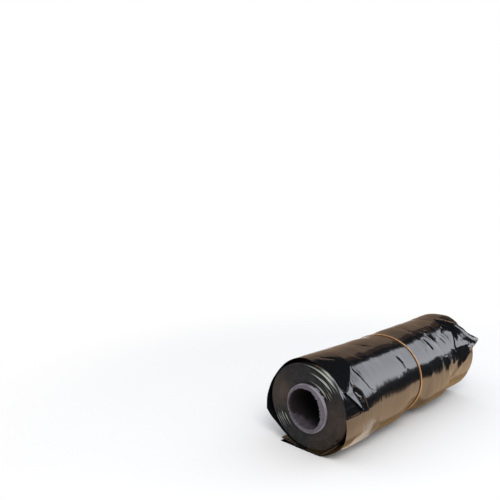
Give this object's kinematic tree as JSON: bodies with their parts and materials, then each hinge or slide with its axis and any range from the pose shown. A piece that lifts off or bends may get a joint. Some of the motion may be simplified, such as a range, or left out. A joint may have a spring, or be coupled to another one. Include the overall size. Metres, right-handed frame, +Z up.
{
  "type": "bin bag roll",
  "caption": "Roll of black bin bags on a tube core, lying on its side, with the last bag as a loose crumpled wrap held by a rubber band.",
  "frame": {"origin": "bottom centre of the whole roll's box, on the ground it lies on", "axes": "+X along the roll, away from the open end; +Y towards the back, where the tail of film lies; +Z up"},
  "size_m": [0.3276, 0.1253, 0.1128],
  "materials": {
    "bag_film": "gloss",
    "wound_film": "satin",
    "core_board": "matte",
    "band_rubber": "satin"
  },
  "bodies": {
    "root": {"core_tube": "core_board", "bag_winding": "wound_film", "outer_bag": "bag_film", "rubber_band": "band_rubber"}
  },
  "joints": []
}
